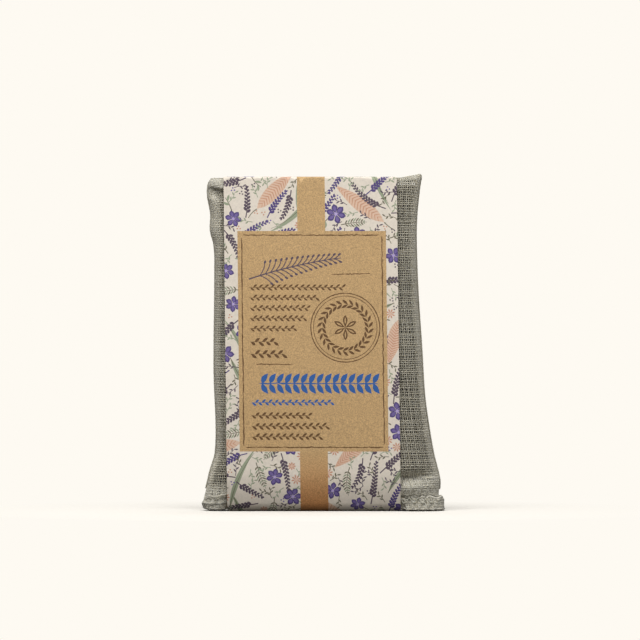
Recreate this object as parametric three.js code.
// Lavender sachet: a filled gauze pouch that stands in a wrapped card sleeve.
// Millimetres, +Z up. The origin is the centre of the sleeve's flat base, and the front faces -Y.
import * as THREE from "three";

// Card sleeve
const sleeve_height = 120.4;
const sleeve_width = 62.3;
const sleeve_lean = 1.4; // the top edge sits this far to the left of the base
const belly_depth = 25; // the deepest section, just above the base corners
const base_inset = 6.5; // from the belly in to the flat part that the sachet stands on
const shoulder_depth = 12; // where the top's corners begin
const taper_share = 0.45; // how much of the taper between the two lies near the shoulder
const base_corner_height = 15; // up to the deepest section
const base_corner_radius = 4.6;
const base_corner_lean_degrees = 20; // the card leans out this much where that radius ends
const sleeve_corner_height = 2; // the card is folded sharply over the top
const card_thickness = 0.35;
const lap_height = 60; // middle of the glued lap at the back, above the base
const lap_length = 12;
const lap_clearance = 2; // between the inner lap's end and the foot of the outer lap's rise
const lap_rise = 8; // the outer lap lifts over the inner one in this length
const glue_thickness = 0.15;
const glue_margin = 2; // the glue stops this short of the lap's edges
const glue_gap = 0.1; // between the glue and the card on each side of it

// Pouch
const pouch_width = 82;
const cloth_thickness = 0.4;
const fit_gap = 0.3; // between the sleeve and the cloth, and between layers of cloth
const seam_gap = 0.3; // between the front and back panels where they meet
const pouch_corner_height = 5; // the pouch's top is rounder than the card's
const crown_power = 9; // how square the pouch's section is from side to side
const edge_crown_share = 0.015; // what is left of the depth at the side seams
const hem_crown_share = 0.3; // the same at the folded hem, which pinches less

// Closing hem: both panels' lower ends, stitched together and turned up in front
const hem_height = 5.2;
const hem_blend_height = 3; // the body comes forward again in this height above the hem
const hem_reach_left = 0.7; // how far the hem's ends stand out past the side seams
const hem_reach_right = 1.9;
const free_edge_reach_share = 0.7; // the part of that reach which the hem's free edge has
const hem_corner_lift = 1.3; // the hem's ends are rounded up by this
const hem_corner_share = 0.1; // over this part of half the width
const hem_sag = 0.5; // the right end of the hem hangs this much lower, beside the sleeve
const hem_flare = 6.4; // and kicks forward by this
const left_flare_share = 0.5; // the left end kicks forward by this part of it
const flare_clearance = 1.35; // between the sleeve's edge and the place where that begins
const flare_length = 5.5;
const flare_height = 8;

// Ear at the top right corner, beside the sleeve
const ear_height = 1.5;
const ear_clearance = 0.85; // from the sleeve's edge
const ear_length = 4.5;
const ear_root = 12; // the ear fades out in this height below the top

// Fold beside the top left corner
const corner_fold_height = 116.4;
const corner_fold_drop = 5; // the fold falls this much over its length
const corner_fold_length = 16;
const corner_fold_breadth = 2;
const corner_fold_depth = 1.5;

// Overhanging fold near the bottom right corner
const overhang_height = 11.4;
const overhang_rise = 1.8;
const overhang_tuck = 7.15; // it starts this far inside the sleeve's edge
const overhang_length = 21;
const overhang_breadth_above = 2.6;
const overhang_breadth_below = 5.5; // the cloth under it faces up, as a roll
const overhang_depth = 3.2;

// Side edges of the pouch: shares of the sleeve's height, and of the pouch's width from the middle
const left_edge_shares = [
  [0.02, -0.497],
  [0.045, -0.496],
  [0.07, -0.486],
  [0.12, -0.472],
  [0.17, -0.451],
  [0.25, -0.444],
  [0.42, -0.452],
  [0.75, -0.45],
  [0.8, -0.456],
  [0.84, -0.47],
  [0.885, -0.466],
  [0.915, -0.475],
  [0.95, -0.484],
  [0.978, -0.478],
  [1, -0.452],
];
const right_edge_shares = [
  [0.02, 0.557],
  [0.055, 0.557],
  [0.09, 0.564],
  [0.12, 0.555],
  [0.17, 0.536],
  [0.26, 0.513],
  [0.35, 0.495],
  [0.5, 0.482],
  [0.64, 0.469],
  [0.74, 0.461],
  [0.83, 0.458],
  [0.9, 0.463],
  [0.96, 0.471],
  [1, 0.48],
];

// Thread
const thread_diameter = 0.5; // the hidden seams, sewn in two strands
const closing_thread_diameter = 0.3;
const stitch_pitch = 2.9;
const stitch_swing = 0.9; // half the width of the closing zigzag
const closing_seam_share = 0.62; // where that seam runs up the hem
const seam_end_clearance = 4;

// Filling
const filling_gap = 1.1;
const filling_edge_share = 0.16; // the filling is blunt at its sides
const lump_height = 0.25;
const lump_pitch = 17;

// How finely each stretch is divided
const shoulder_rows = 6;
const side_rows = 10; // closer together near the top, where the side edges wander most
const under_rows = 6;
const turn_rows = 4;
const base_rows = 3;
const fold_rows = 3;
const lap_rows = 4;
const middle_columns = 4;
const outer_columns = 6;
const evenly_held_share = 0.848; // the part of the sleeve's width where columns are evenly spaced
const crowding = 1.5; // how strongly rows and columns draw together where the form changes fast
const hidden_seam_steps = 32;
const steps_per_stitch = 4;
const thread_sides = 6;
const closing_thread_sides = 5;

// Places that follow from these sizes
const base_depth = belly_depth - 2 * base_inset;
const sleeve_edge = sleeve_width / 2;
const middle_share = evenly_held_share * (sleeve_width / pouch_width);

// Layers, counted inward from the sleeve's outer face to the middle of each cloth
const cloth_layer = card_thickness + fit_gap + cloth_thickness / 2;
const hem_outer_layer = cloth_layer + closing_thread_diameter + fit_gap;
const hem_inner_layer = hem_outer_layer + cloth_thickness + fit_gap;
const hem_body_layer = hem_inner_layer + cloth_thickness + fit_gap;

const clamp = THREE.MathUtils.clamp;
const lerp = THREE.MathUtils.lerp;
const smoothstep = THREE.MathUtils.smoothstep;

// 1 at the middle of a fold, falling smoothly to 0 one breadth away
function bell(distance, breadth) {
  const share = clamp(Math.abs(distance) / breadth, 0, 1);
  return Math.cos((share * Math.PI) / 2) ** 2;
}

// A smooth line through hand-chosen [place, value] pairs
function lineThrough(pairs) {
  const slope = (i, j) => (pairs[j][1] - pairs[i][1]) / (pairs[j][0] - pairs[i][0]);
  const slopes = pairs.map((_, i) => slope(Math.max(i - 1, 0), Math.min(i + 1, pairs.length - 1)));
  return (place) => {
    const inside = clamp(place, pairs[0][0], pairs.at(-1)[0]);
    const after = pairs.findIndex((pair) => pair[0] >= inside);
    const i = Math.max(after - 1, 0);
    const [start, low] = pairs[i];
    const [end, high] = pairs[i + 1];
    const share = (inside - start) / (end - start);
    const bend = share * (1 - share);
    const fromStart = slopes[i] * (end - start) - (high - low);
    const fromEnd = high - low - slopes[i + 1] * (end - start);
    return lerp(low, high, share) + bend * (fromStart * (1 - share) + fromEnd * share);
  };
}

const leftEdge = lineThrough(left_edge_shares);
const rightEdge = lineThrough(right_edge_shares);

// The outer section, as a run of stations from the top, down the front, under and up the back.
// A station has its place and its inward normal in the YZ plane.
function sectionStations(cornerHeight) {
  const half = {
    shoulder: shoulder_depth / 2,
    belly: belly_depth / 2,
    base: base_depth / 2,
  };
  const lean = THREE.MathUtils.degToRad(base_corner_lean_degrees);
  const sideTop = sleeve_height - cornerHeight;
  const handle = (sideTop - base_corner_height) / 3;
  const quarter = [Math.PI / 2, Math.PI];
  const shoulder = new THREE.EllipseCurve(0, sideTop, half.shoulder, cornerHeight, ...quarter);
  const side = new THREE.CubicBezierCurve(
    new THREE.Vector2(-half.shoulder, sideTop),
    new THREE.Vector2(-lerp(half.shoulder, half.belly, taper_share), sideTop - handle),
    new THREE.Vector2(-half.belly, base_corner_height + handle),
    new THREE.Vector2(-half.belly, base_corner_height),
  );
  const turn = new THREE.EllipseCurve(
    -half.base,
    base_corner_radius,
    base_corner_radius,
    base_corner_radius,
    Math.PI + lean,
    (3 * Math.PI) / 2,
  );
  const turnTop = turn.getPoint(0);
  const under = new THREE.QuadraticBezierCurve(
    new THREE.Vector2(-half.belly, base_corner_height),
    new THREE.Vector2(-half.belly, turnTop.y + (turnTop.x + half.belly) / Math.tan(lean)),
    turnTop,
  );
  const along = (curve, rows, from, spread = (share) => share) =>
    Array.from({ length: rows - from + 1 }, (_, i) => {
      const share = spread((i + from) / rows);
      const { x: y, y: z } = curve.getPoint(share);
      const tangent = curve.getTangent(share);
      return { y, z, ny: -tangent.y, nz: tangent.x, side: -1 };
    });
  const front = [
    ...along(shoulder, shoulder_rows, 0),
    ...along(side, side_rows, 1, (share) => share ** crowding),
    ...along(under, under_rows, 1),
    ...along(turn, turn_rows, 1),
  ];
  const base = Array.from({ length: base_rows - 1 }, (_, i) => {
    const share = (i + 1) / base_rows;
    return { y: lerp(-half.base, half.base, share), z: 0, ny: 0, nz: 1, side: lerp(-1, 1, share) };
  });
  const back = front.map((s) => ({ ...s, y: -s.y, ny: -s.ny, side: 1 })).reverse();
  return { front, base, back };
}

const section = sectionStations(pouch_corner_height);

// The station at a height, between two stations of a run that goes down
function stationAt(run, height) {
  const i = run.findIndex((s) => s.z <= height);
  const [low, high] = [run[i], run[i - 1]];
  const share = (height - low.z) / (high.z - low.z);
  return Object.fromEntries(Object.keys(low).map((key) => [key, lerp(low[key], high[key], share)]));
}

// A closed body from two matching grids of points, joined round their rims
function closedSheet(outer, inner) {
  const rows = outer.length;
  const across = outer[0].length;
  const points = [...outer.flat(), ...inner.flat()];
  const faces = [];
  const quad = (a, b, c, d) => faces.push(a, b, c, a, c, d);
  const at = (layer, i, j) => layer * rows * across + i * across + j;
  for (let i = 0; i + 1 < rows; i++) {
    for (let j = 0; j + 1 < across; j++) {
      quad(at(0, i, j), at(0, i + 1, j), at(0, i + 1, j + 1), at(0, i, j + 1));
      quad(at(1, i, j), at(1, i, j + 1), at(1, i + 1, j + 1), at(1, i + 1, j));
    }
    quad(at(0, i + 1, 0), at(0, i, 0), at(1, i, 0), at(1, i + 1, 0));
    quad(at(0, i, across - 1), at(0, i + 1, across - 1), at(1, i + 1, across - 1), at(1, i, across - 1));
  }
  for (let j = 0; j + 1 < across; j++) {
    quad(at(0, 0, j), at(0, 0, j + 1), at(1, 0, j + 1), at(1, 0, j));
    quad(at(0, rows - 1, j + 1), at(0, rows - 1, j), at(1, rows - 1, j), at(1, rows - 1, j + 1));
  }
  return facingOut(points, faces);
}

function facingOut(points, faces) {
  let volume = 0;
  for (let i = 0; i < faces.length; i += 3) {
    const [a, b, c] = faces.slice(i, i + 3).map((k) => points[k]);
    volume += a.dot(new THREE.Vector3().crossVectors(b, c));
  }
  if (volume < 0) faces.reverse();
  return new THREE.BufferGeometry().setFromPoints(points).setIndex(faces);
}

// The grid's own normals, from its neighbouring points
function gridNormals(grid) {
  const near = (i, n) => clamp(i, 0, n - 1);
  return grid.map((row, i) =>
    row.map((_, j) => {
      const down = grid[near(i + 1, grid.length)][j].clone().sub(grid[near(i - 1, grid.length)][j]);
      const across = row[near(j + 1, row.length)].clone().sub(row[near(j - 1, row.length)]);
      return down.cross(across).normalize();
    }),
  );
}

// Gives a grid its thickness. Along its seams it turns square to the plane where the panels meet.
function thickened(grid, thickness, seamRows) {
  const normals = gridNormals(grid);
  const ends = [0, grid[0].length - 1];
  normals.slice(0, seamRows).forEach((row, i) => {
    const onSeam = i ? ends.map((j) => row[j]) : row;
    onSeam.forEach((normal) => normal.setY(0).normalize());
  });
  const moved = (distance) =>
    grid.map((row, i) => row.map((point, j) => point.clone().addScaledVector(normals[i][j], distance)));
  return closedSheet(moved(thickness / 2), moved(-thickness / 2));
}

// Shares of the half width: even under the sleeve, and closer together towards the side seams
function columnShares() {
  const outer = Array.from({ length: outer_columns }, (_, i) => {
    const left = 1 - (i + 1) / outer_columns;
    return 1 - (1 - middle_share) * left ** crowding;
  });
  const middle = Array.from({ length: middle_columns + 1 }, (_, i) =>
    lerp(-middle_share, middle_share, i / middle_columns),
  );
  return [...outer.map((share) => -share).reverse(), ...middle, ...outer];
}

// The folds that show beside the sleeve, as a depth pressed into either face
function foldDepth(x, z) {
  const leftCorner = leftEdge(1) * pouch_width;
  const fromCorner = clamp((x - leftCorner) / corner_fold_length, 0, 1);
  const cornerFold =
    corner_fold_depth *
    (1 - smoothstep(fromCorner, 0, 1)) *
    bell(z - corner_fold_height + corner_fold_drop * fromCorner, corner_fold_breadth);
  const alongOverhang = clamp((x - sleeve_edge + overhang_tuck) / overhang_length, 0, 1);
  const above = z - overhang_height - overhang_rise * alongOverhang;
  const overhang =
    overhang_depth *
    Math.sin(Math.PI * alongOverhang) *
    bell(above, above > 0 ? overhang_breadth_above : overhang_breadth_below);
  return cornerFold + overhang;
}

// The side seams end where the hem begins to hold the panels apart
const seam_rows = section.front.filter((s) => s.z > hem_height + hem_blend_height).length;

// A point of the pouch's skin: its station in the section, its share across and its layer
function skinPoint(station, across, layer, held = {}) {
  const { pinch = edge_crown_share, edgeInset = layer, flare = 0, topReach = 0 } = held;
  const crown = pinch + (1 - pinch) * Math.sqrt(1 - Math.abs(across) ** crown_power);
  const level = station.z + station.nz * layer;
  const height = level / sleeve_height;
  const leftEnd = hem_reach_left * bell(level - hem_height / 2, hem_height / 2);
  const rightEnd = hem_reach_right * lerp(1, topReach, smoothstep(level, hem_height / 4, hem_height));
  const left = leftEdge(height) * pouch_width - leftEnd + edgeInset;
  const right = rightEdge(height) * pouch_width + rightEnd - edgeInset;
  const x = lerp(left, right, (across + 1) / 2);
  const nearTop = smoothstep(level, sleeve_height - ear_root, sleeve_height);
  const earStart = sleeve_edge + ear_clearance;
  const ear = ear_height * smoothstep(x, earStart, earStart + ear_length) * nearTop;
  const atCorner = smoothstep(Math.abs(across), 1 - hem_corner_share, 1);
  const lift = hem_corner_lift * atCorner * (1 - smoothstep(level, 0, hem_height));
  const flareStart = sleeve_edge + flare_clearance;
  const free = smoothstep(x, flareStart, flareStart + flare_length);
  const leftStart = flareStart + sleeve_lean;
  const freeLeft = smoothstep(-x, leftStart, leftStart + flare_length);
  const kickShare = free + left_flare_share * freeLeft;
  const kick = flare * kickShare * (1 - clamp(level / flare_height, 0, 1)) ** 2;
  const sag = hem_sag * free * (1 - smoothstep(level, 0, hem_height));
  const skin = station.y + station.ny * (cloth_layer + foldDepth(x, level));
  const parted = skin * crown * (1 - seam_gap / shoulder_depth) + (station.side * seam_gap) / 2;
  return new THREE.Vector3(x, parted + station.ny * (layer - cloth_layer) - kick, level + ear + lift - sag);
}

// 1 at the hem, and 0 on the body above it
function hemPart(station) {
  return 1 - smoothstep(station.z, hem_height, hem_height + hem_blend_height);
}

// How far the body's front is pushed back by the hem that lies on it
function bodyLayer(station) {
  return lerp(cloth_layer, hem_body_layer, hemPart(station));
}

// A row of the hem or of the body above it: its layers are nested at their ends as they are in depth
function hemRow(station, layer, topReach = 0) {
  const pinch = lerp(edge_crown_share, hem_crown_share, hemPart(station));
  const edgeInset = cloth_layer + Math.max(layer - hem_outer_layer, 0);
  const held = { pinch, edgeInset, flare: hem_flare, topReach };
  return columnShares().map((u) => skinPoint(station, u, layer, held));
}

// The stations of the turned-up hem, from its fold to its free edge
function hemStations() {
  return [...section.front.filter((s) => s.z < hem_height).reverse(), stationAt(section.front, hem_height)];
}

// The turned-up hem's outer face, or the one behind it
function hemRows(layerOf) {
  return hemStations().map((s) => hemRow(s, layerOf(s), free_edge_reach_share));
}

function frontPanel() {
  const body = section.front.map((s) => hemRow(s, bodyLayer(s)));
  const fold = section.front.at(-1);
  const middle = (hem_body_layer + hem_inner_layer) / 2;
  const radius = (hem_body_layer - hem_inner_layer) / 2;
  const turn = Array.from({ length: fold_rows }, (_, i) => {
    const angle = (Math.PI * (i + 1)) / (fold_rows + 1);
    const beyond = { ...fold, y: fold.y + radius * Math.sin(angle) };
    return hemRow(beyond, middle + radius * Math.cos(angle));
  });
  const hem = hemRows(() => hem_inner_layer);
  return thickened([...body, ...turn, ...hem], cloth_thickness, seam_rows);
}

function backPanel() {
  const back = [...section.back].reverse();
  const body = back.map((s) => columnShares().map((u) => skinPoint(s, u, cloth_layer)));
  const under = [...section.base].reverse().map((s) => {
    const forward = (base_depth / 2 - s.y) / base_depth;
    const pinch = lerp(edge_crown_share, hem_crown_share, forward);
    return columnShares().map((u) => skinPoint(s, u, cloth_layer, { pinch, flare: hem_flare * forward }));
  });
  const hem = hemRows(outerHemLayer);
  return thickened([...body, ...under, ...hem], cloth_thickness, seam_rows);
}

// The outer layer of the hem leaves room for its stitching as soon as it turns up
function outerHemLayer(station) {
  return lerp(cloth_layer, hem_outer_layer, smoothstep(station.z, 0, hem_height / 4));
}

// Buds packed into one soft block, blunt at its sides and lumpy on its faces
function filling() {
  const skin = cloth_layer + cloth_thickness / 2 + filling_gap;
  const edgeInset = skin + thread_diameter + filling_gap;
  const ring = [...section.front, ...section.base, ...section.back.slice(0, -1)];
  const rings = columnShares().map((u) =>
    ring.map((s) => {
      const hemRoom = s.y < 0 ? bodyLayer(s) - cloth_layer : 0;
      const nearTop = smoothstep(s.z, sleeve_height - pouch_corner_height, sleeve_height);
      const seamRoom = (edgeInset - skin) * nearTop;
      const point = skinPoint(s, u, skin + hemRoom + seamRoom, { pinch: filling_edge_share, edgeInset });
      const turn = (2 * Math.PI) / lump_pitch;
      const lump = lump_height * (1 + Math.sin(point.x * turn) * Math.cos(point.z * turn));
      return point.setY(point.y - s.side * lump);
    }),
  );
  return closedLoft(rings);
}

// A closed body through rings of points that start at the top, with each end closed level by level
function closedLoft(rings) {
  const count = rings[0].length;
  const points = rings.flat();
  const faces = [];
  rings.slice(1).forEach((_, i) => {
    for (let j = 0; j < count; j++) {
      const next = (j + 1) % count;
      const [a, b] = [i * count + j, i * count + next];
      faces.push(a, b, b + count, a, b + count, a + count);
    }
  });
  const last = (rings.length - 1) * count;
  for (let j = 0; j < count / 2; j++) {
    const [front, lower] = [j, j + 1];
    const [back, lowerBack] = [(count - j) % count, count - j - 1];
    const corners = [
      [front, lower, lowerBack],
      [front, lowerBack, back],
    ];
    for (const [a, b, c] of corners.filter((three) => new Set(three).size === 3)) {
      faces.push(a, c, b, last + a, last + b, last + c);
    }
  }
  return facingOut(points, faces);
}

// A run of thread along a line given by a formula
class ThreadLine extends THREE.Curve {
  constructor(place) {
    super();
    this.place = place;
  }
  getPoint(share, target = new THREE.Vector3()) {
    return target.copy(this.place(share));
  }
}

function thread(place, diameter, sides, steps) {
  const outline = new THREE.Shape(
    Array.from({ length: sides }, (_, i) => {
      const angle = (2 * Math.PI * i) / sides;
      return new THREE.Vector2(Math.cos(angle), Math.sin(angle)).multiplyScalar(diameter / 2);
    }),
  );
  const path = new ThreadLine(place);
  return new THREE.ExtrudeGeometry(outline, { extrudePath: path, steps, bevelEnabled: false });
}

const seam_inset = cloth_thickness / 2 + fit_gap + thread_diameter / 2; // from the middle of the cloth

function sideSeam(side) {
  const low = hem_height + seam_end_clearance;
  const high = sleeve_height - seam_inset - seam_end_clearance;
  const edge = section.front.map((s) => skinPoint(s, side, cloth_layer));
  const place = (share) => {
    const z = lerp(low, high, share);
    return new THREE.Vector3(stationAt(edge, z).x - side * seam_inset, 0, z);
  };
  return thread(place, thread_diameter, thread_sides, hidden_seam_steps);
}

function topSeam() {
  const z = sleeve_height - cloth_layer - seam_inset;
  const left = leftEdge(1) * pouch_width + seam_end_clearance;
  const right = rightEdge(1) * pouch_width - seam_end_clearance;
  const place = (share) => new THREE.Vector3(lerp(left, right, share), 0, z);
  return thread(place, thread_diameter, thread_sides, hidden_seam_steps);
}

// Zigzag stitching on the hem's outer face, from end to end
function closingSeam() {
  const rise = cloth_thickness / 2 + fit_gap + closing_thread_diameter / 2;
  const stations = hemStations();
  const grid = hemRows(outerHemLayer);
  const normals = gridNormals(grid);
  const outward = Math.sign(-normals[0][0].y);
  const rows = grid.map((row, i) =>
    row.map((point, j) => point.clone().addScaledVector(normals[i][j], outward * rise)),
  );
  const stitches = Math.round((pouch_width - 2 * seam_end_clearance) / stitch_pitch);
  const shares = columnShares();
  const reach = 1 - (2 * seam_end_clearance) / pouch_width;
  const between = (points, share, j) => points[j].clone().lerp(points[j + 1], share);
  const place = (share) => {
    const z = hem_height * closing_seam_share + stitch_swing * Math.sin(2 * Math.PI * stitches * share);
    const across = lerp(-reach, reach, share);
    const j = shares.findIndex((u) => u > across) - 1;
    const i = stations.findIndex((s) => s.z > z) - 1;
    const sideways = (across - shares[j]) / (shares[j + 1] - shares[j]);
    const upward = (z - stations[i].z) / (stations[i + 1].z - stations[i].z);
    return between(rows[i], sideways, j).lerp(between(rows[i + 1], sideways, j), upward);
  };
  return thread(place, closing_thread_diameter, closing_thread_sides, stitches * steps_per_stitch);
}

// The card runs from the inner lap down the back, under, up the front, over the top and down to the outer lap
function sleeveRun() {
  const around = sectionStations(sleeve_corner_height);
  const back = [...around.back].reverse();
  const innerEnd = lap_height + lap_length / 2;
  const outerEnd = lap_height - lap_length / 2;
  const atHeight = (height) => stationAt(back, height);
  const riseFoot = innerEnd + lap_clearance;
  const riseTop = riseFoot + lap_rise;
  const lift = card_thickness + glue_thickness + 2 * glue_gap;
  const rise = Array.from({ length: lap_rows + 1 }, (_, i) => {
    const share = i / lap_rows;
    return { ...atHeight(lerp(riseTop, riseFoot, share)), lift: lift * smoothstep(share, 0, 1) };
  });
  return {
    card: [
      atHeight(innerEnd),
      ...back.filter((s) => s.z < innerEnd),
      ...[...around.base].reverse(),
      ...[...around.front].reverse(),
      ...back.filter((s) => s.z > riseTop).slice(1),
      ...rise,
      { ...atHeight(lap_height), lift },
      { ...atHeight(outerEnd), lift },
    ],
    glue: [innerEnd - glue_margin, lap_height, outerEnd + glue_margin].map(atHeight),
  };
}

// A strip across the sleeve's width between two distances inward from the section
function wrappedStrip(stations, near, far, width) {
  const layer = (inward) =>
    stations.map((s) => {
      const distance = inward - (s.lift ?? 0);
      const z = s.z + s.nz * distance;
      const lean = (-sleeve_lean * z) / sleeve_height;
      return [-width / 2, width / 2].map((x) => new THREE.Vector3(x + lean, s.y + s.ny * distance, z));
    });
  return closedSheet(layer(near), layer(far));
}

const sleeve_run = sleeveRun();

function cardSleeve() {
  return wrappedStrip(sleeve_run.card, 0, card_thickness, sleeve_width);
}

function glueStrip() {
  return wrappedStrip(sleeve_run.glue, -glue_gap - glue_thickness, -glue_gap, sleeve_width - 2 * glue_margin);
}

const gauze = new THREE.MeshStandardMaterial({ color: 0x9a9a8c, roughness: 0.9, metalness: 0 });
const cotton = new THREE.MeshStandardMaterial({ color: 0xb9b8aa, roughness: 0.85, metalness: 0 });
const buds = new THREE.MeshStandardMaterial({ color: 0x6a6484, roughness: 0.95, metalness: 0 });
const card = new THREE.MeshStandardMaterial({ color: 0xc9a56f, roughness: 0.8, metalness: 0 });
const glue = new THREE.MeshStandardMaterial({ color: 0xe8e0c8, roughness: 0.35, metalness: 0 });

function named(name, geometry, material) {
  const mesh = new THREE.Mesh(geometry, material);
  mesh.name = name;
  return mesh;
}

const pouch = new THREE.Group();
pouch.add(
  named("pouch_front_panel", frontPanel(), gauze),
  named("pouch_back_panel", backPanel(), gauze),
  named("lavender_filling", filling(), buds),
  named("left_seam_thread", sideSeam(-1), cotton),
  named("right_seam_thread", sideSeam(1), cotton),
  named("top_seam_thread", topSeam(), cotton),
  named("closing_seam_thread", closingSeam(), cotton),
);

const sleeve = new THREE.Group();
sleeve.add(named("card_sleeve", cardSleeve(), card), named("glue_strip", glueStrip(), glue));

const sachet = new THREE.Group();
sachet.add(pouch, sleeve);

export default sachet;
